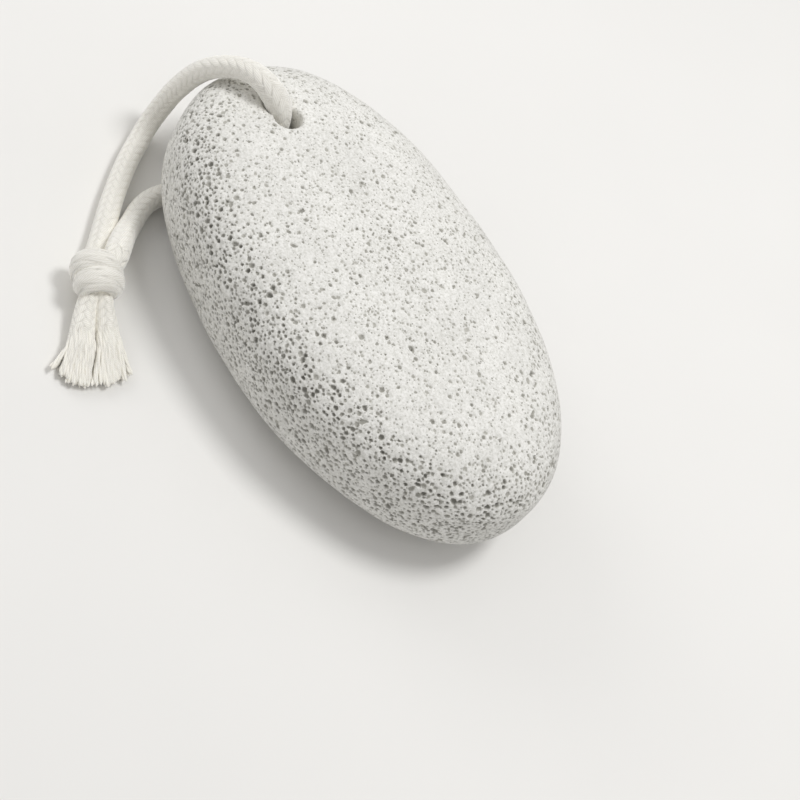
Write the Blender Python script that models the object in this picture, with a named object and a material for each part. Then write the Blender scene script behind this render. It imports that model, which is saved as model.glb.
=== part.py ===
"""A rounded block of pumice, drilled through near one end, on a closed loop of braided cord.

The cord comes out of a wrapped knot, runs over the end of the stone, goes down the drilled hole,
passes under the stone in a worn channel and goes back into the knot. Two short frayed ends leave the
far side of the knot. The stone lies on its broad face, and its long axis is X.
Lengths in the code are millimetres, and the finished meshes are in metres.
"""

import math
import random

import bmesh
import bpy
import numpy as np
from mathutils import Vector, noise

MM = 0.001

STONE_HALF_LENGTH = 50.0
STONE_HALF_WIDTH = 28.1
STONE_HALF_HEIGHT = 14.6
OUTLINE_POWER = 2.14
SIDE_POWER = 3.27
TAPER = -0.075
EGG = 0.018
EGG_TURN = 3.573
FLAT_BASE = 14.1
LUMP_HEIGHT = 0.22
LUMP_SIZE = 16.0
OUTLINE_SHIFT = (0.82, 0.21)

PIT_COUNT = 125
PIT_SPACING = 5.6
PIT_RADII = (0.6, 0.75, 0.95)
PIT_SEED = 41

HOLE_AT = (-33.4, 0.0)
HOLE_RADIUS = 3.1
HOLE_MOUTH = 0.5
CORD_DIAMETER = 4.0
WEAR = 0.38

KNOT_CENTRE = Vector((-26.2, -39.0, 5.0))
KNOT_LENGTH = 10.8
KNOT_RADIUS = 4.85
KNOT_ALONG = Vector((0.82, -0.57, 0.0)).normalized()
CLEARANCE = 0.3

CORD_ROUTE = (
    (-30.2, -36.1, 2.3),
    (-33.9, -32.5, 2.05),
    (-38.2, -28.6, 2.05),
    (-43.0, -23.7, 2.05),
    (-47.4, -18.6, 2.05),
    (-49.6, -15.6, 2.05),
    (-51.3, -13.2, 2.2),
    (-52.6, -11.3, 3.2),
    (-53.5, -9.5, 5.1),
    (-53.8, -8.1, 8.0),
    (-53.6, -7.4, 11.2),
    (-52.9, -7.0, 14.4),
    (-52.1, -6.6, 17.5),
    (-51.0, -6.1, 20.5),
    (-49.6, -5.5, 23.2),
    (-47.75, -4.5, 25.6),
    (-45.5, -3.4, 27.6),
    (-42.9, -2.65, 29.0),
    (-40.1, -2.1, 29.5),
    (-37.75, -1.1, 28.45),
    (-36.5, -0.15, 26.5),
    (-35.6, 0.25, 24.3),
    (-34.5, 0.15, 21.4),
    (-33.7, 0.0, 18.0),
    (-33.4, -0.05, 14.6),
    (-33.45, -0.15, 11.3),
    (-33.7, -0.7, 8.4),
    (-34.2, -2.3, 5.5),
    (-35.0, -4.6, 3.4),
    (-36.0, -7.2, 2.2),
    (-37.1, -10.2, 2.05),
    (-38.1, -13.4, 2.05),
    (-38.55, -16.6, 2.05),
    (-38.2, -19.6, 2.05),
    (-36.9, -22.5, 2.05),
    (-35.1, -25.1, 2.25),
    (-33.1, -27.5, 3.15),
    (-30.7, -30.1, 4.8),
    (-27.7, -34.0, 6.7),
)

# Each section of a frayed end: centre, half of its width, half of its height.
LEFT_END = (
    ((-23.9, -42.4, 4.4), 1.5, 1.8),
    ((-21.4, -43.9, 3.5), 1.7, 1.8),
    ((-19.4, -45.6, 2.8), 2.0, 1.7),
    ((-16.3, -48.2, 2.2), 2.6, 1.6),
    ((-13.4, -50.8, 1.8), 3.1, 1.4),
    ((-10.9, -52.7, 1.5), 2.7, 1.2),
    ((-9.3, -53.9, 1.3), 1.6, 0.9),
)
RIGHT_END = (
    ((-21.6, -38.9, 4.5), 1.5, 1.8),
    ((-19.7, -40.2, 3.5), 1.7, 1.8),
    ((-17.5, -41.2, 2.8), 2.0, 1.7),
    ((-14.2, -42.9, 2.2), 2.6, 1.6),
    ((-11.1, -44.9, 1.8), 3.1, 1.4),
    ((-8.6, -46.9, 1.5), 2.8, 1.2),
    ((-7.4, -48.0, 1.3), 1.6, 0.9),
)


def clear_scene():
    for found in list(bpy.data.objects):
        bpy.data.objects.remove(found, do_unlink=True)


def material(name, colour, roughness):
    made = bpy.data.materials.new(name)
    made.use_nodes = True
    shader = made.node_tree.nodes["Principled BSDF"]
    shader.inputs["Base Color"].default_value = (*colour, 1.0)
    shader.inputs["Roughness"].default_value = roughness
    shader.inputs["Metallic"].default_value = 0.0
    return made


def add_object(name, data, surface=None):
    made = bpy.data.objects.new(name, data)
    bpy.context.scene.collection.objects.link(made)
    if surface:
        data.materials.append(surface)
    return made


def add_mesh(name, bm, surface=None, smooth=True):
    """Turns a working mesh in millimetres into an object in metres."""
    bmesh.ops.recalc_face_normals(bm, faces=bm.faces)
    bmesh.ops.scale(bm, vec=(MM, MM, MM), verts=bm.verts)
    mesh = bpy.data.meshes.new(name)
    bm.to_mesh(mesh)
    bm.free()
    if smooth:
        mesh.shade_smooth()
    return add_object(name, mesh, surface)


def outline_radius(angle):
    """Distance from the middle of the stone to its outline, seen from above."""
    across = np.abs(np.cos(angle) / STONE_HALF_LENGTH) ** OUTLINE_POWER
    along = np.abs(np.sin(angle) / STONE_HALF_WIDTH) ** OUTLINE_POWER
    plain = (across + along) ** (-1.0 / OUTLINE_POWER)
    return plain * (1.0 + EGG * np.cos(3.0 * angle + EGG_TURN))


def on_stone(directions):
    """The points where rays from the middle of the stone leave its surface."""
    x, y, z = directions.T
    angle = np.arctan2(y, x)
    spread = np.hypot(x, y) / outline_radius(angle)
    reach = (spread**SIDE_POWER + np.abs(z / STONE_HALF_HEIGHT) ** SIDE_POWER) ** (1.0 / SIDE_POWER)
    points = directions / reach[:, None]
    points[:, 1] *= 1.0 + TAPER * points[:, 0] / STONE_HALF_LENGTH
    return points


def lump(point):
    """Slow unevenness of a hand-rubbed surface, between -1 and 1."""
    broad = noise.noise(Vector(point) / LUMP_SIZE)
    fine = noise.noise(Vector(point) / (0.4 * LUMP_SIZE))
    return broad + 0.5 * fine


def shape_stone(bm):
    """Bends a sphere into the rubbed block, flat underneath, standing on z = 0."""
    halves = np.array([STONE_HALF_LENGTH, STONE_HALF_WIDTH, STONE_HALF_HEIGHT])
    directions = np.array([v.co for v in bm.verts]) * halves ** (2.0 / 3.0)
    points = on_stone(directions)
    for vert, point in zip(bm.verts, points):
        away = Vector(point / halves).normalized()
        moved = Vector(point) + away * LUMP_HEIGHT * lump(point)
        height = max(moved.z + FLAT_BASE, 0.0)
        vert.co = (moved.x + OUTLINE_SHIFT[0], moved.y + OUTLINE_SHIFT[1], height)


def thin_base(bm):
    """The flat underside needs no points inside it."""
    inside = [v for v in bm.verts if all(w.verts[0].co.z + w.verts[1].co.z < 1e-6 for w in v.link_edges)]
    bmesh.ops.dissolve_verts(bm, verts=inside)
    bmesh.ops.triangulate(bm, faces=[f for f in bm.faces if len(f.verts) > 4])


def distance_to(line, point):
    return min((Vector(point) - Vector(other)).length for other in line)


def pit_sites(bm, line):
    """Spaced points of the rubbed surface, clear of the base, the hole and the cord."""
    order = sorted(bm.verts, key=lambda v: tuple(v.co))
    random.Random(PIT_SEED).shuffle(order)
    sites = []
    for vert in order:
        if len(sites) == PIT_COUNT:
            break
        clear_hole = math.hypot(vert.co.x - HOLE_AT[0], vert.co.y - HOLE_AT[1]) > 8.0
        if vert.co.z < 3.0 or not clear_hole or distance_to(line, vert.co) < 6.0:
            continue
        if all((vert.co - other.co).length > PIT_SPACING for other in sites):
            sites.append(vert)
    return sites


def sink_pits(bm, sites):
    """Opens each site into a small ring and pushes its floor in."""
    for number, radius in enumerate(PIT_RADII):
        chosen = sites[number :: len(PIT_RADII)]
        opened = bmesh.ops.bevel(
            bm,
            geom=chosen,
            offset=radius,
            affect="VERTICES",
            segments=1,
            profile=0.5,
            material=-1,
        )
        bmesh.ops.inset_individual(bm, faces=opened["faces"], thickness=0.25 * radius, depth=-0.7 * radius)


def smooth_line(route, step):
    """A curve through the route's points, eased a little and read at even steps."""
    points = np.array(route, float)
    padded = np.vstack([2 * points[0] - points[1], points, 2 * points[-1] - points[-2]])
    fine = []
    for start in range(len(points) - 1):
        p0, p1, p2, p3 = padded[start : start + 4]
        for t in np.arange(0.0, 1.0, 0.1):
            bend = (2 * p0 - 5 * p1 + 4 * p2 - p3) * t**2 + (3 * p1 - p0 - 3 * p2 + p3) * t**3
            fine.append(0.5 * (2 * p1 + (p2 - p0) * t + bend))
    fine.append(points[-1])
    fine = np.array(fine)
    for _ in range(12):
        fine[1:-1] = 0.25 * fine[:-2] + 0.5 * fine[1:-1] + 0.25 * fine[2:]
    gone = np.concatenate([[0.0], np.cumsum(np.linalg.norm(np.diff(fine, axis=0), axis=1))])
    marks = np.linspace(0.0, gone[-1], round(gone[-1] / step) + 1)
    return np.stack([np.interp(marks, gone, fine[:, axis]) for axis in range(3)], axis=1)


def lengthened(line, extra):
    """The same line with its first end moved back by the given length."""
    back = line[0] - line[1]
    return np.vstack([line[0] + back / np.linalg.norm(back) * extra, line[1:]])


def tube(name, line, radius, resolution, height=0.0):
    """A round tube along a line, drawn out downwards where a height is given."""
    curve = bpy.data.curves.new(name, "CURVE")
    curve.dimensions = "3D"
    curve.twist_mode = "Z_UP" if height else "MINIMUM"
    curve.bevel_depth = radius * MM
    curve.bevel_resolution = resolution
    curve.extrude = 0.5 * height * MM
    curve.use_fill_caps = True
    spline = curve.splines.new("POLY")
    spline.points.add(len(line) - 1)
    for mark, (x, y, z) in zip(spline.points, line):
        mark.co = (x * MM, y * MM, (z - 0.5 * height) * MM, 1.0)
    return curve


def tube_cutter(name, line, radius, resolution, height=0.0):
    """A hidden solid for cutting, made from a tube."""
    drawn = add_object(name + "_line", tube(name, line, radius, resolution, height))
    graph = bpy.context.evaluated_depsgraph_get()
    mesh = bpy.data.meshes.new_from_object(drawn.evaluated_get(graph))
    bpy.data.objects.remove(drawn, do_unlink=True)
    bm = bmesh.new()
    bm.from_mesh(mesh)
    bpy.data.meshes.remove(mesh)
    bmesh.ops.remove_doubles(bm, verts=bm.verts, dist=1e-6)
    bmesh.ops.scale(bm, vec=(1 / MM, 1 / MM, 1 / MM), verts=bm.verts)
    return hide(add_mesh(name, bm, smooth=False))


def hide(cutter):
    cutter.hide_render = True
    cutter.display_type = "WIRE"
    return cutter


def stacked(rings):
    """A closed solid through rings of points, one after the other."""
    bm = bmesh.new()
    bmesh.ops.create_circle(bm, cap_ends=True, segments=len(rings[0]), radius=1.0)
    face = bm.faces[:][0]
    for number, ring in enumerate(rings):
        if number:
            drawn = bmesh.ops.extrude_face_region(bm, geom=[face])
            if number > 1:
                bmesh.ops.delete(bm, geom=[face], context="FACES_ONLY")
            face = next(item for item in drawn["geom"] if isinstance(item, bmesh.types.BMFace))
        for vert, place in zip(face.verts, ring):
            vert.co = place
    return bm


def turns(sides):
    return [2.0 * math.pi * number / sides for number in range(sides)]


def lofted(name, sections, surface=None, sides=12):
    """A solid through elliptical sections that stand across the line of their centres."""
    centres = [Vector(centre) for centre, _, _ in sections]
    rings = []
    for number, (_, wide, high) in enumerate(sections):
        after = centres[min(number + 1, len(centres) - 1)]
        before = centres[max(number - 1, 0)]
        along = (after - before).normalized()
        across = Vector((-along.y, along.x, 0.0)).normalized()
        up = along.cross(across)
        rings.append(
            [
                centres[number] + across * wide * math.cos(turn) + up * high * math.sin(turn)
                for turn in turns(sides)
            ]
        )
    return add_mesh(name, stacked(rings), surface)


def grown(sections, extra):
    """The first sections of a frayed end, larger all round and starting a little earlier."""
    first = Vector(sections[0][0])
    second = Vector(sections[1][0])
    started = first + (first - second).normalized() * extra
    wider = [(centre, wide + extra, high + extra) for centre, wide, high in sections[:4]]
    return [(tuple(started), sections[0][1] + extra, sections[0][2] + extra)] + wider[1:]


def cut(target, cutters):
    for cutter in cutters:
        modifier = target.modifiers.new(cutter.name, "BOOLEAN")
        modifier.operation = "DIFFERENCE"
        modifier.solver = "EXACT"
        modifier.object = cutter


def hole_cutter():
    """A straight drilled hole whose two mouths open out."""
    flare = HOLE_RADIUS + HOLE_MOUTH
    x, y = HOLE_AT
    heights = ((-2.0, flare), (0.3, flare), (1.6, HOLE_RADIUS), (24.6, HOLE_RADIUS), (26.6, flare), (34.0, flare))
    rings = [
        [(x + radius * math.cos(turn), y + radius * math.sin(turn), z) for turn in turns(16)]
        for z, radius in heights
    ]
    return hide(add_mesh("cut_hole", stacked(rings), smooth=False))


def nearest_index(line, point):
    return int(np.argmin(np.linalg.norm(line - np.array(point), axis=1)))


def stone(line):
    """The rubbed block with its pits, the drilled hole and the two places the cord has worn."""
    bm = bmesh.new()
    bmesh.ops.create_icosphere(bm, subdivisions=5, radius=1.0)
    shape_stone(bm)
    thin_base(bm)
    sink_pits(bm, pit_sites(bm, line))
    made = add_mesh("pumice_stone", bm, material("pumice", (0.78, 0.78, 0.75), 0.95))
    lip = line[nearest_index(line, (-43.8, -2.9, 28.6)) : nearest_index(line, (-33.9, 0.0, 19.0)) + 1]
    under = line[nearest_index(line, (-33.8, -1.2, 7.5)) : nearest_index(line, (-38.4, -18.6, 2.05)) + 1]
    worn = 0.5 * CORD_DIAMETER + WEAR
    cut(
        made,
        [
            hole_cutter(),
            tube_cutter("cut_lip", lip, worn, 2),
            tube_cutter("cut_channel", under, worn, 2, height=3.0),
        ],
    )
    return made


def cord(line):
    """One continuous length of cord, from the knot round the stone and back into the knot."""
    curve = tube("cord", line, 0.5 * CORD_DIAMETER, 2)
    for spline in curve.splines:
        spline.use_smooth = True
    return add_object("cord", curve, material("cotton_cord", (0.75, 0.74, 0.68), 0.9))


def knot_radius(place):
    """Half height of the knot at a place from -1 to 1 along it: two wraps with a crease between."""
    rounded = max(0.0, 1.0 - abs(place) ** 5.0) ** 0.4
    crease = 0.75 * math.exp(-(((place - 0.05) / 0.17) ** 2))
    return KNOT_RADIUS * rounded - crease


def knot(line):
    """The wrapped knot, with a socket for each strand and each frayed end."""
    side = Vector((0, 0, 1)).cross(KNOT_ALONG)
    bm = bmesh.new()
    bmesh.ops.create_uvsphere(bm, u_segments=16, v_segments=12, radius=1.0)
    for vert in bm.verts:
        turn = math.atan2(vert.co.y, vert.co.x)
        place = vert.co.z
        radius = knot_radius(place)
        slope = 0.7 * math.cos(turn) * math.sqrt(max(0.0, 1.0 - place * place))
        along = KNOT_ALONG * (0.5 * KNOT_LENGTH * place + slope)
        out = side * math.cos(turn) * radius * 1.04 + Vector((0, 0, 1)) * math.sin(turn) * radius
        vert.co = KNOT_CENTRE + along + out
    made = add_mesh("knot", bm, material("cotton_knot", (0.74, 0.73, 0.67), 0.9))
    sleeve = 0.5 * CORD_DIAMETER + CLEARANCE
    cutters = [
        tube_cutter("cut_first_strand", lengthened(line[:4], CLEARANCE), sleeve, 2),
        tube_cutter("cut_last_strand", lengthened(line[::-1][:4], CLEARANCE), sleeve, 2),
        hide(lofted("cut_left_end", grown(LEFT_END, CLEARANCE))),
        hide(lofted("cut_right_end", grown(RIGHT_END, CLEARANCE))),
    ]
    cut(made, cutters)
    return made


def main():
    clear_scene()
    line = smooth_line(CORD_ROUTE, 3.2)
    stone(line)
    cord(line)
    knot(line)
    lofted("frayed_end_left", LEFT_END, material("cotton_left_end", (0.75, 0.74, 0.68), 0.92))
    lofted("frayed_end_right", RIGHT_END, material("cotton_right_end", (0.75, 0.74, 0.68), 0.92))


main()
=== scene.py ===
"""A rubbed pumice stone on a loop of braided cotton cord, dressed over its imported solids."""

import math
import random

import bmesh
import bpy
import numpy as np
from bpy.props import FloatProperty, IntProperty, PointerProperty, StringProperty
from bpy.types import Operator, Panel, PropertyGroup
from mathutils import Matrix, Vector, kdtree, noise


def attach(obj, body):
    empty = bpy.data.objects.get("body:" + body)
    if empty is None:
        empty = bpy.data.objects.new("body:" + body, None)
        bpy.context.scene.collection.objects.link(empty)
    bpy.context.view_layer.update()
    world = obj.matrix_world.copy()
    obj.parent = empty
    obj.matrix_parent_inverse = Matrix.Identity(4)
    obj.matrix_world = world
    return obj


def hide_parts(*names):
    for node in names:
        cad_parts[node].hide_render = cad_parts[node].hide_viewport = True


bl_info = {
    "name": "Pumice stone on a cord",
    "version": (1, 0, 0),
    "blender": (4, 5, 0),
    "location": "3D View > Sidebar > Pumice",
    "description": "Builds a porous rubbed stone, its braided cord, the knot and the frayed ends",
    "category": "Object",
}

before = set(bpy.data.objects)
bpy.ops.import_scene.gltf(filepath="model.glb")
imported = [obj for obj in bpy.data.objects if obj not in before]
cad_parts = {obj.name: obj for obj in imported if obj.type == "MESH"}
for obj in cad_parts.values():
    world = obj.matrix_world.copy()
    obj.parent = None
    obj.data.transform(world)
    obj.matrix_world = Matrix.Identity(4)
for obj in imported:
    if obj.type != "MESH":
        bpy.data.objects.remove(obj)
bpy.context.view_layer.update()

# Everything below is worked out in millimetres and scaled by this at the end.
MM = 0.001
# Distance between the rings of a strand.
RING = 0.3
# Nothing made of cotton lies lower than this above the floor.
FLOOR_GAP = 0.05

# The cord's line: out of the knot, over the end of the stone, down the drilled hole,
# under the stone and back into the knot.
CORD_ROUTE = (
    (-30.2, -36.1, 2.3),
    (-33.9, -32.5, 2.05),
    (-38.2, -28.6, 2.05),
    (-43.0, -23.7, 2.05),
    (-47.4, -18.6, 2.05),
    (-49.6, -15.6, 2.05),
    (-51.3, -13.2, 2.2),
    (-52.6, -11.3, 3.2),
    (-53.5, -9.5, 5.1),
    (-53.8, -8.1, 8.0),
    (-53.6, -7.4, 11.2),
    (-52.9, -7.0, 14.4),
    (-52.1, -6.6, 17.5),
    (-51.0, -6.1, 20.5),
    (-49.6, -5.5, 23.2),
    (-47.75, -4.5, 25.6),
    (-45.5, -3.4, 27.6),
    (-42.9, -2.65, 29.0),
    (-40.1, -2.1, 29.5),
    (-37.75, -1.1, 28.45),
    (-36.25, -0.15, 26.5),
    (-35.25, 0.2, 24.3),
    (-34.3, 0.1, 21.4),
    (-33.7, 0.0, 18.0),
    (-33.4, -0.05, 14.6),
    (-33.45, -0.15, 11.3),
    (-33.7, -0.7, 8.4),
    (-34.2, -2.3, 5.5),
    (-35.0, -4.6, 3.4),
    (-36.0, -7.2, 2.2),
    (-37.1, -10.2, 2.05),
    (-38.1, -13.4, 2.05),
    (-38.55, -16.6, 2.05),
    (-38.2, -19.6, 2.05),
    (-36.9, -22.5, 2.05),
    (-35.1, -25.1, 2.25),
    (-33.35, -27.75, 3.2),
    (-31.2, -30.55, 4.9),
    (-28.05, -34.2, 6.6),
)

# Width and thickness of one flat strand in the cord, in the band of the knot and in the braided ends.
CORD_STRAND = (1.65, 0.55)
KNOT_STRAND = (1.75, 0.45)
END_STRAND = (1.6, 0.55)
# How much a strand sinks where another passes over it, as a share of its thickness.
CORD_RELIEF = 0.1
KNOT_RELIEF = 0.06
END_RELIEF = 0.16
# Length in which a strand goes once round, in the band of the knot and in the braided ends.
KNOT_LAY = 80.0
END_LAY = 13.5

KNOT_CENTRE = Vector((-26.3, -38.9, 5.0))
KNOT_ALONG = Vector((0.82, -0.57, 0.0)).normalized()
UPRIGHT = Vector((0.0, 0.0, 1.0))
# Half of the width and of the height of the band that is wound into the knot.
KNOT_BAND = (2.55, 1.9)

# From the middle of the stone's smooth form down to its flat base, and from the origin to that middle.
BASE = 14.1
SHIFT = np.array([0.82, 0.21])
# How square the stone is, seen from above and in its thickness: 2 is an ellipse, more is squarer.
OUTLINE_POWER = 2.14
EDGE_POWER = 3.27
# How much narrower the stone is at its far end than in the middle.
TAPER = 0.075
# The skin's slope where the flat of the face ends, and how far that slope falls across the shoulder.
FACE_SLOPE = 0.985
SHOULDER_FALL = 0.18
# The stone's mesh is thinned to this before it is drilled.
MOST_TRIANGLES = 185000
HOLE_AT = (-33.4, 0.0)
# Where the cord swells as it bends down into the hole.
MOUTH = np.array([-37.2, -0.6, 27.4])
# The stretches of the cord that have worn a groove, into the edge of the hole and under the stone, and
# the radius of those grooves.
LIP = ((-43.8, -2.9, 28.6), (-33.9, 0.0, 19.0))
CHANNEL = ((-33.5, -0.3, 10.5), (-38.4, -18.6, 2.05))
WORN = 2.38
# Distance between the rings of the shapes that cut those grooves.
GROOVE_RING = 0.8

# The band that winds round the knot: its angle from the stone's side over the top, how far it has moved
# towards the frayed ends, and its distance from the middle.
KNOT_TURNS = (
    (-90, -0.2, 2.4),
    (0, -0.6, 2.85),
    (90, -1.0, 2.85),
    (180, -1.2, 3.2),
    (270, 0.1, 2.85),
    (360, 1.1, 3.3),
    (450, 2.3, 2.8),
    (540, 2.7, 2.35),
)
# Each braided end, from inside the knot to where it opens: centre, half of its width, half of its height.
LEFT_BRAID = (
    ((-24.3, -41.0, 4.9), 1.75, 1.75),
    ((-22.6, -42.75, 4.0), 1.9, 1.8),
    ((-21.0, -44.05, 3.3), 2.05, 1.8),
    ((-19.0, -45.45, 2.6), 2.3, 1.75),
    ((-17.3, -46.6, 2.2), 2.45, 1.65),
    ((-14.6, -48.5, 1.9), 2.75, 1.5),
)
RIGHT_BRAID = (
    ((-23.6, -39.3, 4.9), 1.75, 1.75),
    ((-21.55, -40.1, 4.1), 1.9, 1.8),
    ((-19.8, -40.65, 3.3), 2.05, 1.8),
    ((-17.5, -41.35, 2.6), 2.25, 1.75),
    ((-15.6, -42.1, 2.2), 2.35, 1.65),
    ((-12.7, -43.2, 1.9), 2.6, 1.5),
)
# Where the opened yarns end on the floor, from the outer edge of the pair of ends inwards.
LEFT_TIPS = (
    (-14.3, -54.6),
    (-12.6, -53.6),
    (-11.7, -53.1),
    (-10.4, -52.6),
    (-9.8, -52.1),
    (-9.7, -51.3),
    (-8.5, -51.0),
    (-9.8, -49.4),
)
RIGHT_TIPS = (
    (-7.4, -41.7),
    (-7.2, -43.4),
    (-7.8, -43.9),
    (-7.4, -45.2),
    (-7.3, -46.3),
    (-7.7, -47.3),
    (-8.0, -48.4),
    (-8.5, -49.2),
)


def linear(hex_colour):
    """An sRGB hex colour as the linear values that a shader takes."""
    parts = [int(hex_colour[start : start + 2], 16) / 255 for start in (1, 3, 5)]
    return (*(c / 12.92 if c <= 0.04045 else ((c + 0.055) / 1.055) ** 2.4 for c in parts), 1.0)


def node(tree, kind, inputs=None, **settings):
    """Adds one shader node with its settings, its constant values and its links."""
    made = tree.nodes.new(kind)
    for name, value in settings.items():
        setattr(made, name, value)
    for name, value in (inputs or {}).items():
        if isinstance(value, bpy.types.NodeSocket):
            tree.links.new(value, made.inputs[name])
        else:
            made.inputs[name].default_value = value
    return made


def maths(tree, operation, first, second):
    made = node(tree, "ShaderNodeMath", {0: first, 1: second}, operation=operation)
    return made.outputs["Value"]


def ramp(tree, value, stops):
    """A colour ramp through (position, hex colour) stops."""
    made = node(tree, "ShaderNodeValToRGB", {"Fac": value})
    while len(made.color_ramp.elements) < len(stops):
        made.color_ramp.elements.new(0.5)
    for element, (position, colour) in zip(made.color_ramp.elements, stops):
        element.position = position
        element.color = linear(colour)
    return made.outputs["Color"]


def new_material(name):
    made = bpy.data.materials.new(name)
    made.use_nodes = True
    return made, made.node_tree, made.node_tree.nodes["Principled BSDF"]


def smooth_line(route, step):
    """A curve through the route's points, eased a little and read at even steps."""
    points = np.array(route, float)
    padded = np.vstack([2 * points[0] - points[1], points, 2 * points[-1] - points[-2]])
    fine = []
    for start in range(len(points) - 1):
        p0, p1, p2, p3 = padded[start : start + 4]
        for t in np.arange(0.0, 1.0, 0.1):
            bend = (2 * p0 - 5 * p1 + 4 * p2 - p3) * t**2 + (3 * p1 - p0 - 3 * p2 + p3) * t**3
            fine.append(0.5 * (2 * p1 + (p2 - p0) * t + bend))
    fine.append(points[-1])
    fine = np.array(fine)
    for _ in range(12):
        fine[1:-1] = 0.25 * fine[:-2] + 0.5 * fine[1:-1] + 0.25 * fine[2:]
    gone = lengths_along(fine)
    marks = np.linspace(0.0, gone[-1], round(gone[-1] / step) + 1)
    return np.stack([np.interp(marks, gone, fine[:, axis]) for axis in range(fine.shape[1])], axis=1)


def lengths_along(line):
    return np.concatenate([[0.0], np.cumsum(np.linalg.norm(np.diff(line[:, :3], axis=0), axis=1))])


def unit(vectors):
    return vectors / np.maximum(np.linalg.norm(vectors, axis=-1, keepdims=True), 1e-9)


def carried_frame(line):
    """Directions across and above a line, carried along it without twisting."""
    ahead = unit(np.gradient(line, axis=0))
    up = np.zeros_like(line)
    up[0] = unit(np.array([0.0, 0.0, 1.0]) - ahead[0] * ahead[0][2])
    for number in range(1, len(line)):
        up[number] = unit(up[number - 1] - ahead[number] * np.dot(up[number - 1], ahead[number]))
    return np.cross(ahead, up), up


def sweep(bm, rings, step):
    """Rolls a flat grid up into a closed strand through rings of points, with a map in millimetres."""
    count, sides, _ = rings.shape
    uv = bm.loops.layers.uv.verify()
    grid = bmesh.ops.create_grid(bm, x_segments=sides, y_segments=count - 1, size=1.0)
    places = np.concatenate([rings, rings[:, :1]], axis=1).reshape(-1, 3)
    number_of = {}
    for number, (vert, place) in enumerate(zip(grid["verts"], places)):
        vert.co = place
        number_of[vert] = number
    around = float(np.linalg.norm(rings[0] - np.roll(rings[0], 1, axis=0), axis=1).sum()) / sides
    for face in {face for vert in grid["verts"] for face in vert.link_faces}:
        for loop in face.loops:
            row, column = divmod(number_of[loop.vert], sides + 1)
            loop[uv].uv = (column * around, row * step)
    return grid["verts"]


def close_strands(bm):
    """Joins each strand's seam and fills its ends."""
    bmesh.ops.remove_doubles(bm, verts=bm.verts, dist=1e-5)
    open_edges = [edge for edge in bm.edges if edge.is_boundary]
    bmesh.ops.holes_fill(bm, edges=open_edges, sides=0)
    bmesh.ops.recalc_face_normals(bm, faces=bm.faces)


def oval_rings(centres, across, up, wide, high, sides):
    """Oval rings round a line; wide and high are half sizes, one number or one for each ring."""
    turn = np.arange(sides) * 2.0 * math.pi / sides
    wide = np.broadcast_to(np.asarray(wide, float), len(centres))[:, None, None]
    high = np.broadcast_to(np.asarray(high, float), len(centres))[:, None, None]
    sideways = across[:, None] * wide * np.cos(turn)[None, :, None]
    return centres[:, None] + sideways + up[:, None] * high * np.sin(turn)[None, :, None]


def even_step(line):
    """The distance between the points of an evenly read line."""
    return lengths_along(line)[-1] / (len(line) - 1)


def braid(bm, line, across, up, halves, step, lay, strand, relief, each_way=8):
    """Two sets of flat strands wound opposite ways over a core, each passing over two and under two of the
    others. halves is half of the braid's width and height, and strand the width and thickness of a strand."""
    gone = np.arange(len(line)) * step
    wide, high = (np.broadcast_to(np.asarray(half, float), len(line)) for half in halves)
    strand_wide, strand_high = strand
    girth = (wide + high) / np.median(wide + high)
    for way in (1, -1):
        for number in range(each_way):
            angle = 2.0 * math.pi * (number / each_way + way * gone / lay)
            above = way * np.cos(0.5 * math.pi * (2 * number + way * 2 * each_way * gone / lay - 0.5))
            sink = strand_high * (0.5 + relief * (1.0 - above))
            reach_wide = (wide - sink)[:, None]
            reach_high = (high - sink)[:, None]
            cos, sin = np.cos(angle)[:, None], np.sin(angle)[:, None]
            middle = line + across * reach_wide * cos + up * reach_high * sin
            outward = unit(across * cos / reach_wide + up * sin / reach_high)
            ahead = unit(np.gradient(middle, axis=0))
            beside = unit(np.cross(ahead, outward))
            outward = np.cross(beside, ahead)
            rings = oval_rings(middle, beside, outward, 0.5 * strand_wide * girth, 0.5 * strand_high, 6)
            sweep(bm, rings, step)
    under = (0.6 + 2.0 * relief) * strand_high
    sweep(bm, oval_rings(line, across, up, wide - under, high - under, 10), step)


def finish_piece(name, bm, material, replaced):
    """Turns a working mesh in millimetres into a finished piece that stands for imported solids."""
    for vert in bm.verts:
        vert.co.z = max(vert.co.z, FLOOR_GAP)
    bmesh.ops.scale(bm, vec=(MM, MM, MM), verts=bm.verts)
    mesh = bpy.data.meshes.new(name)
    bm.to_mesh(mesh)
    bm.free()
    mesh.shade_smooth()
    return place_piece(name, mesh, material, replaced)


def place_piece(name, mesh, material, replaced):
    mesh.materials.clear()
    mesh.materials.append(material)
    piece = bpy.data.objects.new(name, mesh)
    bpy.context.scene.collection.objects.link(piece)
    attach(piece, "root")
    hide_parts(replaced)
    return piece


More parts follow.
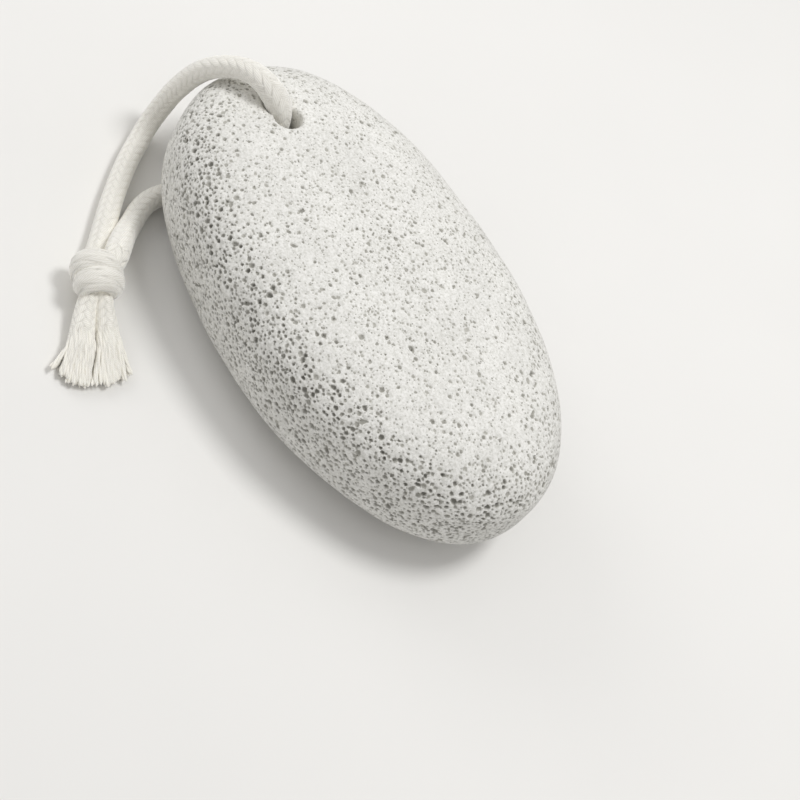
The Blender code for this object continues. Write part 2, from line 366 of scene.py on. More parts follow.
def cotton(name, colour, shade):
    """Braided cotton, spun from short fibres and left matt: fine slanting twist lines on every strand, with
    shade painted a little darker into the hollows between the fibres, and a soft pale edge where loose fibre
    ends stand up."""
    made, tree, shader = new_material(name)
    where = node(tree, "ShaderNodeUVMap").outputs["UV"]
    # The twist lines are 0.24 mm apart and lean at about 30 degrees across a strand.
    leaning = node(tree, "ShaderNodeMapping", {"Vector": where, "Rotation": (0.0, 0.0, math.radians(32))})
    lines = node(
        tree,
        "ShaderNodeTexWave",
        {
            "Vector": leaning.outputs["Vector"],
            "Scale": 0.31 / 0.24,
            "Distortion": 1.6,
            "Detail": 2.0,
            "Detail Scale": 2.5,
        },
        wave_type="BANDS",
        bands_direction="X",
    )
    # Slubs and loose fibres, about 0.5 mm long.
    tufts = node(tree, "ShaderNodeTexNoise", {"Vector": where, "Scale": 2.0, "Detail": 4.0, "Roughness": 0.7})
    mixed = maths(tree, "MULTIPLY", lines.outputs["Fac"], tufts.outputs["Fac"])
    # Painted shade: the ramp darkens the hollows of the twist lines, the same places the bump lowers; the
    # slub noise adds random tone.
    tone = ramp(tree, mixed, ((0.05, shade), (0.42, colour)))
    tree.links.new(tone, shader.inputs["Base Color"])
    bump = node(tree, "ShaderNodeBump", {"Height": mixed, "Strength": 0.35, "Distance": 0.08 * MM})
    tree.links.new(bump.outputs["Normal"], shader.inputs["Normal"])
    shader.inputs["Roughness"].default_value = 0.92
    shader.inputs["Specular IOR Level"].default_value = 0.25
    shader.inputs["Subsurface Weight"].default_value = 0.3
    shader.inputs["Subsurface Radius"].default_value = (1.0, 0.97, 0.9)
    shader.inputs["Subsurface Scale"].default_value = 0.5 * MM
    shader.inputs["Sheen Weight"].default_value = 0.6
    shader.inputs["Sheen Roughness"].default_value = 0.6
    return made


class CordSettings(PropertyGroup):
    diameter: FloatProperty(
        name="Diameter",
        description="Outside diameter of the braided cord",
        default=0.00424,
        min=0.001,
        unit="LENGTH",
    )
    lay: FloatProperty(
        name="Lay",
        description="Length of cord in which one strand goes once round",
        default=0.0146,
        min=0.004,
        unit="LENGTH",
    )
    colour: StringProperty(
        name="Cotton",
        description="Colour of the cotton, as an sRGB hex value",
        default="#fbf8ef",
    )
    # Painted shade: the cotton's colour in the hollows between its fibres, darker as if shade fell there.
    shade: StringProperty(
        name="Cotton between fibres",
        description="Colour of the cotton in its hollows, as an sRGB hex value",
        default="#ebe7da",
    )


class StoneSettings(PropertyGroup):
    half_length: FloatProperty(
        name="Half length",
        description="From the middle of the stone to either end",
        default=0.050,
        unit="LENGTH",
    )
    half_width: FloatProperty(
        name="Half width",
        description="From the middle of the stone to either side",
        default=0.0281,
        unit="LENGTH",
    )
    half_height: FloatProperty(
        name="Half height",
        description="From the middle of the stone to its top",
        default=0.0146,
        unit="LENGTH",
    )
    hole_radius: FloatProperty(
        name="Hole radius",
        description="Radius of the drilled hole",
        default=0.0027,
        unit="LENGTH",
    )
    pores: IntProperty(
        name="Pores",
        description="How many open bubbles the surface shows",
        default=12500,
        min=0,
    )
    colour: StringProperty(
        name="Stone",
        description="Colour of the rubbed surface, as an sRGB hex value",
        default="#e9e8e4",
    )
    # Painted shade: the grey painted at the bottom of a pore, where shade falls.
    pore_shade_colour: StringProperty(
        name="Pore",
        description="Colour at the bottom of a pore, as an sRGB hex value",
        default="#a5a4a0",
    )


class StageSettings(PropertyGroup):
    lens: FloatProperty(
        name="Lens",
        description="Focal length of the camera, in millimetres",
        default=85.0,
        min=10.0,
    )
    floor: StringProperty(
        name="Floor",
        description="Colour of the floor, as an sRGB hex value",
        default="#e6e5e2",
    )


class PUMICE_OT_stage(Operator):
    """Make the camera, the soft lights and the pale floor"""

    bl_idname = "pumice.stage"
    bl_label = "Stage"

    def execute(self, context):
        settings = context.scene.pumice_stage
        make_camera(context.scene, settings.lens)
        make_lights(context.scene)
        make_floor(settings.floor)
        return {"FINISHED"}


def make_camera(scene, lens):
    """Looks down on the stone from the knot's side, turned so that the drilled end is at the top."""
    camera = bpy.data.objects.new("camera", bpy.data.cameras.new("camera"))
    scene.collection.objects.link(camera)
    camera.data.lens = lens
    camera.data.sensor_width = 36.0
    camera.data.clip_start = 0.01
    camera.data.clip_end = 10.0
    right = Vector((0.5367, 0.7476, 0.3913)).normalized()
    forward = Vector((-0.2196, 0.5715, -0.7907))
    forward = (forward - right * forward.dot(right)).normalized()
    turned = Matrix((right, right.cross(forward), -forward)).transposed()
    camera.matrix_world = Matrix.Translation(Vector((94.9, -198.7, 282.4)) * MM) @ turned.to_4x4()
    scene.camera = camera
    scene.view_settings.view_transform = "Standard"


def make_lights(scene):
    """An even pale surround, a soft light above and a larger, weaker one off the drilled end."""
    world = scene.world or bpy.data.worlds.new("studio")
    scene.world = world
    world.use_nodes = True
    background = world.node_tree.nodes["Background"]
    background.inputs["Color"].default_value = linear("#f7f6f6")
    background.inputs["Strength"].default_value = 0.67
    for name, place, size, power in (
        ("key", (60, 150, 560), 170, 1.52),
        ("side", (-420, -60, 260), 260, 0.42),
    ):
        light = bpy.data.lights.new(name, "AREA")
        light.shape = "DISK"
        light.size = size * MM
        light.energy = power
        lamp = bpy.data.objects.new(name, light)
        scene.collection.objects.link(lamp)
        lamp.location = Vector(place) * MM
        aim = Vector((0.0, -5.0, 10.0)) * MM - lamp.location
        lamp.rotation_mode = "QUATERNION"
        lamp.rotation_quaternion = aim.to_track_quat("-Z", "Y")


def make_floor(colour):
    """A painted board, matt, with the faintest unevenness."""
    made, tree, shader = new_material("matt painted board")
    where = node(tree, "ShaderNodeTexCoord").outputs["Object"]
    cloudy = node(tree, "ShaderNodeTexNoise", {"Vector": where, "Scale": 12.0, "Detail": 3.0})
    tone = ramp(tree, cloudy.outputs["Fac"], ((0.3, "#e3e2df"), (0.7, colour)))
    tree.links.new(tone, shader.inputs["Base Color"])
    shader.inputs["Roughness"].default_value = 0.85
    bm = bmesh.new()
    bmesh.ops.create_grid(bm, x_segments=8, y_segments=8, size=1.2)
    bmesh.ops.translate(bm, vec=(0.0, 0.0, -0.05 * MM), verts=bm.verts)
    mesh = bpy.data.meshes.new("floor")
    bm.to_mesh(mesh)
    bm.free()
    mesh.materials.append(made)
    floor = bpy.data.objects.new("floor", mesh)
    bpy.context.scene.collection.objects.link(floor)


class PUMICE_OT_cord(Operator):
    """Braid the cord along its route"""

    bl_idname = "pumice.cord"
    bl_label = "Cord"

    def execute(self, context):
        settings = context.scene.pumice_cord
        line = smooth_line(CORD_ROUTE, RING)
        across, up = carried_frame(line)
        gone = lengths_along(line)
        # The cord swells within about 5 mm of the mouth of the hole, where its braid shows less, and
        # within about 9 mm of the knot.
        at_mouth = np.exp(-(((line - MOUTH) ** 2).sum(axis=1)) / 22.0)
        at_knot = np.exp(-((np.minimum(gone, gone[-1] - gone) / 9.0) ** 2))
        half = 0.5 * settings.diameter / MM * (1.0 + 0.16 * at_mouth + 0.14 * at_knot)
        relief = CORD_RELIEF - 0.06 * at_mouth
        bm = bmesh.new()
        braid(bm, line, across, up, (half, half), even_step(line), settings.lay / MM, CORD_STRAND, relief)
        close_strands(bm)
        surface = cotton("braided cotton cord", settings.colour, settings.shade)
        finish_piece("braided_cord", bm, surface, "cord")
        return {"FINISHED"}


class PUMICE_OT_knot(Operator):
    """Wind the knot that closes the loop"""

    bl_idname = "pumice.knot"
    bl_label = "Knot"

    def execute(self, context):
        settings = context.scene.pumice_cord
        side = np.array(UPRIGHT.cross(KNOT_ALONG))
        along = np.array(KNOT_ALONG)
        up = np.array(UPRIGHT)
        # The angles are scaled so that the winding is read at even steps.
        winding = smooth_line([(angle / 60.0, drift, radius) for angle, drift, radius in KNOT_TURNS], 0.06)
        turns = np.radians(winding[:, :1] * 60.0)
        drift, radius = winding[:, 1:2], winding[:, 2:3]
        out = side * np.cos(turns) + up * np.sin(turns)
        path = np.array(KNOT_CENTRE) + along * drift + out * radius
        ahead = unit(np.gradient(path, axis=0))
        beside = unit(np.cross(ahead, out))
        away = np.cross(beside, ahead)
        bm = bmesh.new()
        step = even_step(path)
        braid(bm, path, beside, away, KNOT_BAND, step, KNOT_LAY, KNOT_STRAND, KNOT_RELIEF, each_way=10)
        add_core(bm)
        add_swallowed_ends(bm, 0.5 * settings.diameter / MM, settings.lay / MM)
        close_strands(bm)
        surface = cotton("wrapped cotton knot", settings.colour, settings.shade)
        finish_piece("wrapped_knot", bm, surface, "knot")
        return {"FINISHED"}


def add_core(bm):
    """The hidden turns inside the knot, as one rounded mass."""
    made = bmesh.ops.create_uvsphere(bm, u_segments=20, v_segments=12, radius=1.0)
    along = KNOT_ALONG
    side = UPRIGHT.cross(along)
    for vert in made["verts"]:
        x, y, z = vert.co
        vert.co = KNOT_CENTRE + along * (1.0 + 3.3 * z) + side * (3.2 * x) + UPRIGHT * (3.1 * y)


def add_swallowed_ends(bm, half, lay):
    """The cord's last few millimetres at either end, swollen by 13%, where it dives into the knot."""
    half = 1.13 * half
    for route in (
        (*CORD_ROUTE[-2:], (-26.7, -36.2, 6.5), (-25.9, -38.2, 5.2)),
        (*CORD_ROUTE[1::-1], (-28.1, -37.9, 2.9), (-26.2, -39.4, 4.2)),
    ):
        line = smooth_line(route, RING)
        line = line[lengths_along(line) > 4.0]
        across, up = carried_frame(line)
        braid(bm, line, across, up, (half, half), RING, lay, CORD_STRAND, CORD_RELIEF)


class PUMICE_OT_frayed_ends(Operator):
    """Braid the two short ends and open their yarns"""

    bl_idname = "pumice.frayed_ends"
    bl_label = "Frayed ends"

    def execute(self, context):
        settings = context.scene.pumice_cord
        surface = cotton("frayed cotton yarn", settings.colour, settings.shade)
        for name, stations, tips, outer, seed in (
            ("frayed_yarns_left", LEFT_BRAID, LEFT_TIPS, 1.0, 3),
            ("frayed_yarns_right", RIGHT_BRAID, RIGHT_TIPS, -1.0, 8),
        ):
            bm = bmesh.new()
            braid_end(bm, stations)
            open_yarns(bm, stations, tips, outer, random.Random(seed))
            close_strands(bm)
            finish_piece(name, bm, surface, name.replace("yarns", "end"))
        return {"FINISHED"}


def braid_end(bm, stations):
    """The braided part of a short end, which flattens towards the opened yarns."""
    flat = [(*centre, wide, high) for centre, wide, high in stations]
    # The last of the braid thins out and sinks under the opened yarns.
    (x, y, _, wide, high), before = flat[-1], flat[-2]
    flat.append((2 * x - before[0], 2 * y - before[1], 0.65, 0.85 * wide, 0.35 * high))
    line = smooth_line(flat, RING)
    places = line[:, :3]
    ahead = unit(np.gradient(places, axis=0))
    across = unit(np.stack([ahead[:, 1], -ahead[:, 0], np.zeros(len(line))], axis=1))
    up = np.cross(across, ahead)
    braid(bm, places, across, up, (line[:, 3], line[:, 4]), even_step(line), END_LAY, END_STRAND, END_RELIEF)


def open_yarns(bm, stations, tips, outer, chance):
    """Plied yarns that leave the braid in three layers and lie down close together in a fan on the floor."""
    root, wide, high = stations[-1]
    before = Vector(stations[-2][0])
    root = Vector(root)
    ahead = (root - before).normalized()
    across = Vector((ahead.y, -ahead.x, 0.0)).normalized() * outer
    # The outermost yarn stands off a little. The rest lie side by side, 0.65 mm apart.
    fan = [tips[0], *smooth_line(tips[1:], 0.65)]
    count = len(fan)
    for layer in range(3):
        # The top layer leaves the braid from under its strands, at uneven distances.
        top = layer == 0
        for number, (x, y) in enumerate(fan):
            share = 1.0 - (2.0 * number + 1.0 + 0.6 * layer) / count
            arch = math.sqrt(max(0.1, 1.0 - share * share))
            lean = 0.8 * share + chance.uniform(-0.12, 0.12)
            back = chance.uniform(3.4, 6.0) if top else 2.6
            start = root - ahead * back + across * lean * (wide - 0.55)
            if top:
                start.z = root.z + 0.1 + 0.1 * back + 1.2 * arch
            else:
                start.z = root.z + 0.2 - 0.5 * layer * arch
            lifted = root - ahead * (chance.uniform(0.3, 2.2) if top else 1.2) + across * share * (wide - 0.3)
            lifted.z = root.z + (high + (0.1 if top else -0.15)) * arch - 0.7 * layer
            end = Vector((x, y, 1.25 - 0.4 * layer + chance.uniform(-0.06, 0.1)))
            if top:
                short = ahead * chance.uniform(-0.35, 0.35)
            else:
                short = (root - end).normalized() * chance.uniform(0.2, 1.3)
            if number or layer:
                end += Vector((short.x, short.y, 0.0)) + across * chance.uniform(-0.3, 0.3)
            middle = lifted.lerp(end, 0.5) + across * chance.uniform(-0.1, 0.1)
            middle.z = max(middle.z - (0.05 if top else 0.2), 0.6)
            route = (start, lifted, lifted.lerp(middle, 0.5), middle, middle.lerp(end, 0.55), end)
            add_yarn(bm, route, chance)


def add_yarn(bm, points, chance):
    """Three plies twisted together, slack over the last quarter and thin at the cut end."""
    line = smooth_line([tuple(point) for point in points], RING)
    across, up = carried_frame(line)
    gone = np.arange(len(line)) * RING
    slack = 4.0 * np.clip(gone / gone[-1] - 0.75, 0.0, 1.0)
    phase = chance.uniform(0.0, 2.0 * math.pi)
    radius, lowest = 0.29, 0.28
    for ply in range(3):
        angle = (phase + ply * 2.0 * math.pi / 3.0 + 2.0 * math.pi * gone / 9.0)[:, None]
        spread = (0.19 * (1.0 + 0.9 * slack * chance.uniform(0.2, 1.0)))[:, None]
        middle = line + (across * np.cos(angle) + up * np.sin(angle)) * spread
        middle[:, 2] = np.maximum(middle[:, 2], lowest)
        cut = len(middle) - chance.randint(0, 2)
        thick = radius * np.clip((cut - np.arange(cut)) / 2.5, 0.4, 1.0)
        sweep(bm, oval_rings(middle[:cut], across[:cut], up[:cut], thick, thick, 6), RING)


class PUMICE_OT_stone(Operator):
    """Form the rubbed stone, open its pores and drill it"""

    bl_idname = "pumice.stone"
    bl_label = "Stone"

    def execute(self, context):
        settings = context.scene.pumice_stone
        mesh = fine_ball(3)
        points = vertex_places(mesh)
        points = on_skin(points * half_sizes(settings) ** (2.0 / 3.0), settings)
        points, outward = with_lumps(points, settings)
        pores = packed_pits(settings)
        pores += scattered_pores(points, outward, pores, settings, random.Random(5))
        depth = pore_depths(points, outward, pores) + worn_edge(points, settings)[0]
        points = points - outward * depth[:, None]
        points[:, 2] = np.maximum(points[:, 2], 0.0)
        mesh.vertices.foreach_set("co", (points * MM).ravel())
        made = dug_out(mesh, settings)
        write_depths(made, settings)
        made.shade_smooth()
        surface = pumice(settings.colour, settings.pore_shade_colour)
        place_piece("pumice_block", made, surface, "pumice_stone")
        return {"FINISHED"}


def vertex_places(mesh):
    flat = np.empty(len(mesh.vertices) * 3, np.float32)
    mesh.vertices.foreach_get("co", flat)
    return flat.reshape(-1, 3).astype(float)


def solid_of(mesh, modifiers):
    """The mesh after modifiers, each given as its kind and its settings."""
    holder = bpy.data.objects.new("working", mesh)
    bpy.context.scene.collection.objects.link(holder)
    for kind, settings in modifiers:
        modifier = holder.modifiers.new(kind, kind)
        for name, value in settings.items():
            setattr(modifier, name, value)
    graph = bpy.context.evaluated_depsgraph_get()
    made = bpy.data.meshes.new_from_object(holder.evaluated_get(graph))
    bpy.data.objects.remove(holder)
    bpy.data.meshes.remove(mesh)
    return made


def fine_ball(levels):
    """A ball of small, even faces."""
    bm = bmesh.new()
    bmesh.ops.create_icosphere(bm, subdivisions=6, radius=1.0)
    mesh = bpy.data.meshes.new("ball")
    bm.to_mesh(mesh)
    bm.free()
    split = {"subdivision_type": "SIMPLE", "levels": levels, "render_levels": levels}
    return solid_of(mesh, [("SUBSURF", split)])


def half_sizes(settings):
    return np.array([settings.half_length, settings.half_width, settings.half_height]) / MM


def outline_radius(angle, halves):
    """Distance from the middle of the stone to its outline, seen from above."""
    along = np.abs(np.cos(angle) / halves[0]) ** OUTLINE_POWER
    across = np.abs(np.sin(angle) / halves[1]) ** OUTLINE_POWER
    return (along + across) ** (-1.0 / OUTLINE_POWER) * (1.0 + 0.018 * np.cos(3.0 * angle + 3.573))


def skin_level(points, settings):
    """1 on the smooth skin of the stone, less inside it."""
    halves = half_sizes(settings)
    x, y, z = points.T
    y = y / (1.0 - TAPER * x / halves[0])
    return rounded_level(x, y, z, halves)


def rounded_level(x, y, z, halves):
    """skin_level for the stone as it is before it tapers."""
    spread = np.hypot(x, y) / outline_radius(np.arctan2(y, x), halves)
    return (spread**EDGE_POWER + np.abs(z / halves[2]) ** EDGE_POWER) ** (1.0 / EDGE_POWER)


def skin_slope(points, settings):
    """How fast skin_level changes along each axis."""
    step = 0.02
    slopes = []
    for axis in np.eye(3) * step:
        slopes.append(skin_level(points + axis, settings) - skin_level(points - axis, settings))
    return np.stack(slopes, axis=1) / (2.0 * step)


def on_skin(directions, settings):
    """The points where rays from the middle of the stone leave its smooth skin."""
    halves = half_sizes(settings)
    points = directions / rounded_level(*directions.T, halves)[:, None]
    points[:, 1] *= 1.0 - TAPER * points[:, 0] / halves[0]
    return points


def lumps(points):
    """Slow unevenness of a hand-rubbed surface, in millimetres."""
    found = [noise.noise(p / 16.0) + 0.5 * noise.noise(p / 6.4) for p in map(Vector, points)]
    return 0.22 * np.array(found)


def with_lumps(points, settings):
    """Moves the smooth skin by its unevenness, flattens its base and stands it on the floor."""
    slope = skin_slope(points, settings)
    outward = unit(slope)
    away = unit(points / half_sizes(settings))
    moved = points + away * lumps(points)[:, None]
    moved[:, 2] = np.maximum(moved[:, 2] + BASE, 0.0)
    moved[:, :2] += SHIFT
    outward[moved[:, 2] <= 0.0] = (0.0, 0.0, -1.0)
    return moved, outward


def packed_pits(settings):
    """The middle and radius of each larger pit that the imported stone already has."""
    cad = vertex_places(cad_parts["pumice_stone"].data) / MM
    cad = np.unique(np.round(cad, 3), axis=0)
    level = cad - np.array([*SHIFT, BASE])
    slope = skin_slope(level, settings)
    sunk = (1.0 - skin_level(level, settings)) / np.linalg.norm(slope, axis=1)
    # Points well below the skin are the floors of pits, except in the hole, its edge and the channel.
    clear = np.hypot(cad[:, 0] - HOLE_AT[0], cad[:, 1] - HOLE_AT[1]) > 7.5
    floor = cad[(sunk > 0.32) & clear & (cad[:, 2] > 2.6)]
    pits = []
    left = list(range(len(floor)))
    while left:
        near = [n for n in left if np.linalg.norm(floor[n] - floor[left[0]]) < 1.7]
        left = [n for n in left if n not in near]
        middle = floor[near].mean(axis=0)
        wide = float(np.linalg.norm(floor[near] - middle, axis=1).mean())
        if wide > 0.3:
            pits.append((middle, 0.72 * wide))
    return pits


def scattered_pores(points, outward, larger, settings, chance):
    """Open bubbles of many sizes, crowded round the sides and in drifts across the face."""
    spots = {}
    found = []

    def cell_of(place):
        return tuple(int(c // 1.5) for c in place)

    def free(place, radius):
        cell = cell_of(place)
        for dx in (-1, 0, 1):
            for dy in (-1, 0, 1):
                for dz in (-1, 0, 1):
                    for other, size in spots.get((cell[0] + dx, cell[1] + dy, cell[2] + dz), ()):
                        if sum((a - b) ** 2 for a, b in zip(place, other)) < (radius + size + 0.04) ** 2:
                            return False
        return True

    def keep(place, radius):
        spots.setdefault(cell_of(place), []).append((place, radius))

    for middle, radius in larger:
        keep(tuple(middle), radius)
    tries = 12 * settings.pores
    for _ in range(tries):
        if len(found) == settings.pores:
            break
        number = chance.randrange(len(points))
        place = tuple(points[number])
        shoulder = shoulder_at(outward[number])
        drift = noise.noise(Vector(place) / 6.5) + 0.6 * noise.noise(Vector(place) / 2.4)
        if place[2] < 0.3 or chance.random() > 0.56 + 0.6 * drift + 0.42 * shoulder:
            continue
        radius = min(0.5, 0.22 * math.exp(chance.gauss(0.0, 0.36)) * (0.93 + 0.32 * shoulder))
        if free(place, radius):
            keep(place, radius)
            found.append((np.array(place), radius))
    return found


def shoulder_at(outward):
    """1 on the rounded shoulder between the face and the side, 0 on the flat of the face."""
    return min(1.0, max(0.0, (FACE_SLOPE - abs(outward[2])) / SHOULDER_FALL))


def pore_depths(points, outward, pores):
    """How far each point of the skin lies down inside a pore."""
    tree = kdtree.KDTree(len(points))
    for number, point in enumerate(points):
        tree.insert(point, number)
    tree.balance()
    ragged = np.array([noise.noise(p / 0.38) for p in map(Vector, points)])
    chance = random.Random(11)
    depth = np.zeros(len(points))
    # The bubbles are drawn out more or less along the way the foam once flowed.
    flow = np.array([1.0, 0.05, -0.1])
    for middle, radius in pores:
        stretch = 1.0 + abs(chance.gauss(0.0, 0.2))
        near = np.array([number for _, number, _ in tree.find_range(middle, radius * stretch * 1.25)], int)
        if not len(near):
            continue
        facing = outward[near[0]]
        grain = flow + 0.8 * np.array([chance.gauss(0, 1) for _ in range(3)])
        grain -= facing * grain.dot(facing)
        grain /= np.linalg.norm(grain)
        away = points[near] - middle
        along = away @ grain
        level = away @ facing
        beside = np.sqrt(np.maximum((away**2).sum(axis=1) - along**2 - level**2, 0.0))
        apart = np.hypot(along / stretch, beside) / radius * (1.0 + 0.34 * ragged[near])
        bowl = np.clip(1.0 - apart**3, 0.0, 1.0) ** 0.6
        deepest = radius * chance.uniform(0.5, 1.3) * (1.0 + 0.35 * shoulder_at(facing))
        # The widest bubbles are shallow for their size.
        deepest *= min(1.0, 0.38 / radius)
        depth[near] = np.maximum(depth[near], deepest * bowl)
    return depth


def revolved_cutter(profile):
    """A round cutter from (radius, height) stations above the hole's place."""
    bm = bmesh.new()
    previous = None
    for radius, height in profile:
        ring = bmesh.ops.create_circle(
            bm, cap_ends=False, segments=48, radius=radius, matrix=Matrix.Translation((*HOLE_AT, height))
        )
        edges = list({edge for vert in ring["verts"] for edge in vert.link_edges})
        if previous:
            bmesh.ops.bridge_loops(bm, edges=previous + edges)
        previous = edges
    bmesh.ops.holes_fill(bm, edges=[edge for edge in bm.edges if edge.is_boundary], sides=0)
    return cutter_object("hole", bm)


def worn_cutter(name, line, radius, drops):
    """Round cutters along part of the cord, one for each drop, lower ones where it has to be open below."""
    across, up = carried_frame(line)
    cutters = []
    for drop in drops:
        bm = bmesh.new()
        sweep(bm, oval_rings(line - np.array([0.0, 0.0, drop]), across, up, radius, radius, 20), 1.0)
        close_strands(bm)
        cutters.append(cutter_object(name, bm))
    return cutters


def cutter_object(name, bm):
    """Turns a working mesh in millimetres into an object for a Boolean."""
    bmesh.ops.recalc_face_normals(bm, faces=bm.faces)
    bmesh.ops.scale(bm, vec=(MM, MM, MM), verts=bm.verts)
    mesh = bpy.data.meshes.new(name)
    bm.to_mesh(mesh)
    bm.free()
    made = bpy.data.objects.new(name, mesh)
    bpy.context.scene.collection.objects.link(made)
    return made


def part_of(line, first, last):
    """The stretch of a line between the places nearest to two points."""
    ends = [int(np.argmin(np.linalg.norm(line - np.array(place), axis=1))) for place in (first, last)]
    return line[ends[0] : ends[1] + 1]


def worn_edge(points, settings):
    """How far the edge of the hole and of the cord's groove is rubbed down, and how far off that edge is."""
    line = part_of(smooth_line(CORD_ROUTE, GROOVE_RING), *LIP)
    hole = np.hypot(points[:, 0] - HOLE_AT[0], points[:, 1] - HOLE_AT[1]) - settings.hole_radius / MM
    far, blend = 9.0, 0.5
    off = np.full(len(points), far)
    near = (hole < far) & (points[:, 2] > 22.0)
    groove = np.linalg.norm(points[near][:, None] - line[None], axis=2).min(axis=1) - WORN
    # The two edges blend into one where they meet.
    off[near] = -blend * np.log(np.exp(-hole[near] / blend) + np.exp(-groove / blend))
    return 0.55 * np.clip(1.0 - off / 1.2, 0.0, 1.0) ** 2, off


def dug_out(mesh, settings):
    """Thins the flat parts of the mesh, then drills the hole and wears the cord's two places."""
    radius = settings.hole_radius / MM
    line = smooth_line(CORD_ROUTE, GROOVE_RING)
    profile = (
        (radius + 0.5, -2.0),
        (radius + 0.5, 0.3),
        (radius, 1.6),
        (radius, 25.4),
        (radius + 0.1, 26.8),
        (radius + 0.15, 34.0),
    )
    cutters = [revolved_cutter(profile)]
    cutters += worn_cutter("lip", part_of(line, *LIP), WORN, (0.0,))
    cutters += worn_cutter("channel", part_of(line, *CHANNEL), WORN, (0.0, 1.4, 2.8))
    steps = [("DECIMATE", {"ratio": min(1.0, MOST_TRIANGLES / (2 * len(mesh.polygons)))})]
    for cutter in cutters:
        steps.append(("BOOLEAN", {"operation": "DIFFERENCE", "solver": "MANIFOLD", "object": cutter}))
    made = solid_of(mesh, steps)
    for cutter in cutters:
        bpy.data.objects.remove(cutter)
    return made


def write_depths(mesh, settings):
    """Stores how far each vertex lies below the skin, which paints shade into the pores, and how crumbly it
    is.
    """
    points = vertex_places(mesh) / MM
    level = points - np.array([*SHIFT, BASE])
    slope = np.linalg.norm(skin_slope(level, settings), axis=1)
    sunk = (1.0 - skin_level(level, settings)) / np.maximum(slope, 1e-6) + lumps(level)
    sunk = np.minimum(sunk, points[:, 2])
    # The drilled hole and the worn places are no pores, get no painted shade, and are as pale as the face.
    worn, off = worn_edge(points, settings)
    sunk = np.where((sunk > 0.95) | (off < 0.1), 0.0, sunk - worn)
    stored = mesh.attributes.new("sunk", "FLOAT", "POINT")
    stored.data.foreach_set("value", np.clip(sunk, 0.0, 2.0).astype(np.float32))
    steep = np.abs(unit(skin_slope(level, settings))[:, 2])
    crumbly = np.clip((FACE_SLOPE - steep) / SHOULDER_FALL, 0.0, 1.0)
    stored = mesh.attributes.new("crumbly", "FLOAT", "POINT")
    stored.data.foreach_set("value", crumbly.astype(np.float32))


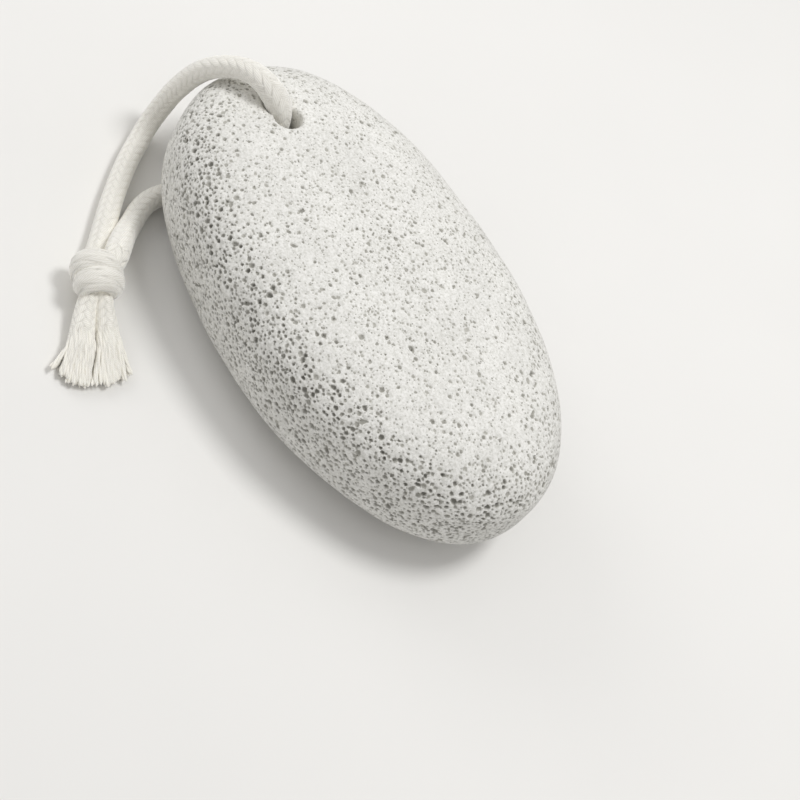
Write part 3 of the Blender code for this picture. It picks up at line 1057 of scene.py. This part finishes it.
def pumice(colour, pore_shade_colour):
    """Pumice, foamed volcanic glass that was sawn and rubbed to shape: dry, matt and off-white, with grey
    shade painted into every open bubble by its depth, a fine glassy grain, and bubbles too small to model
    drawn as grey specks of painted shade."""
    made, tree, shader = new_material("rubbed pumice")
    where = node(tree, "ShaderNodeTexCoord").outputs["Object"]
    sunk = node(tree, "ShaderNodeAttribute", attribute_name="sunk").outputs["Fac"]
    # Cloudy tone about 9 mm across.
    cloud = node(tree, "ShaderNodeTexNoise", {"Vector": where, "Scale": 1 / (9 * MM), "Detail": 3.0})
    face = ramp(tree, cloud.outputs["Fac"], ((0.3, "#e1e0dc"), (0.7, colour)))
    # Bubbles up to 0.3 mm wide, one in each 0.75 mm cell, drawn as grey specks of painted shade.
    cells = node(tree, "ShaderNodeTexVoronoi", {"Vector": where, "Scale": 1 / (0.75 * MM)})
    edge = maths(tree, "MULTIPLY", cells.outputs["Color"], 0.27)
    inner = maths(tree, "SUBTRACT", edge, cells.outputs["Distance"])
    speck = node(tree, "ShaderNodeMapRange", {"Value": inner, "From Min": -0.06, "From Max": 0.06})
    # Painted shade: the deeper a vertex lies in a pore, the greyer it is painted.
    pit = ramp(tree, sunk, ((0.05, "#ffffff"), (0.16, "#d6d5d1"), (0.5, pore_shade_colour)))
    # Painted shade: each speck is greyed as the shade inside a bubble too small to model.
    grey = ramp(tree, speck.outputs["Result"], ((0.0, "#ffffff"), (1.0, "#b5b4af")))
    # Glass and dust between the bubbles, in grains about 0.45 mm across.
    grains = node(
        tree,
        "ShaderNodeTexNoise",
        {"Vector": where, "Scale": 1 / (0.45 * MM), "Detail": 3.0, "Roughness": 0.7},
    )
    dusty = ramp(tree, grains.outputs["Fac"], ((0.36, "#e3e3e0"), (0.6, "#ffffff")))
    toned = multiplied(tree, multiplied(tree, multiplied(tree, face, pit), grey), dusty)
    tree.links.new(toned, shader.inputs["Base Color"])
    # Crumbly walls about 0.6 mm apart on the shoulder and the sides, rubbed down on the face.
    crumbly = node(tree, "ShaderNodeAttribute", attribute_name="crumbly").outputs["Fac"]
    rough = node(tree, "ShaderNodeMapRange", {"Value": crumbly, "To Min": 0.35, "To Max": 1.0})
    walls = node(
        tree,
        "ShaderNodeTexNoise",
        {"Vector": where, "Scale": 1 / (0.6 * MM), "Detail": 4.0, "Roughness": 0.65},
    )
    raised = maths(tree, "MULTIPLY", walls.outputs["Fac"], rough.outputs["Result"])
    crumbs = node(tree, "ShaderNodeBump", {"Height": raised, "Strength": 0.7, "Distance": 0.3 * MM})
    # The specks are hollows as well.
    bump = node(
        tree,
        "ShaderNodeBump",
        {
            "Height": speck.outputs["Result"],
            "Strength": 0.4,
            "Distance": 0.1 * MM,
            "Normal": crumbs.outputs["Normal"],
        },
        invert=True,
    )
    tree.links.new(bump.outputs["Normal"], shader.inputs["Normal"])
    shader.inputs["Roughness"].default_value = 0.95
    shader.inputs["Specular IOR Level"].default_value = 0.3
    return made


def multiplied(tree, first, second):
    made = node(tree, "ShaderNodeMix", data_type="RGBA", blend_type="MULTIPLY")
    made.inputs["Factor"].default_value = 1.0
    tree.links.new(first, made.inputs[6])
    tree.links.new(second, made.inputs[7])
    return made.outputs[2]


class PUMICE_PT_sidebar(Panel):
    bl_idname = "PUMICE_PT_sidebar"
    bl_label = "Pumice stone"
    bl_space_type = "VIEW_3D"
    bl_region_type = "UI"
    bl_category = "Pumice"

    def draw(self, context):
        for group, operators in (
            (context.scene.pumice_stage, (PUMICE_OT_stage,)),
            (context.scene.pumice_cord, (PUMICE_OT_cord, PUMICE_OT_knot, PUMICE_OT_frayed_ends)),
            (context.scene.pumice_stone, (PUMICE_OT_stone,)),
        ):
            box = self.layout.box()
            for name in group.__annotations__:
                box.prop(group, name)
            for operator in operators:
                box.operator(operator.bl_idname)


CLASSES = (
    CordSettings,
    StoneSettings,
    StageSettings,
    PUMICE_OT_stage,
    PUMICE_OT_cord,
    PUMICE_OT_knot,
    PUMICE_OT_frayed_ends,
    PUMICE_OT_stone,
    PUMICE_PT_sidebar,
)


def register():
    for kind in CLASSES:
        bpy.utils.register_class(kind)
    bpy.types.Scene.pumice_cord = PointerProperty(type=CordSettings)
    bpy.types.Scene.pumice_stone = PointerProperty(type=StoneSettings)
    bpy.types.Scene.pumice_stage = PointerProperty(type=StageSettings)


def unregister():
    del bpy.types.Scene.pumice_stage
    del bpy.types.Scene.pumice_stone
    del bpy.types.Scene.pumice_cord
    for kind in reversed(CLASSES):
        bpy.utils.unregister_class(kind)


def declare_cord():
    """The cord leaves the knot, goes round and ends in the knot again; this reads its line at 2 mm steps and
    does nothing more with it.
    """
    line = smooth_line(CORD_ROUTE, 2.0) * MM


def main():
    register()
    bpy.ops.pumice.stage()
    bpy.ops.pumice.cord()
    bpy.ops.pumice.knot()
    bpy.ops.pumice.frayed_ends()
    bpy.ops.pumice.stone()
    declare_cord()


if __name__ == "__main__":
    main()
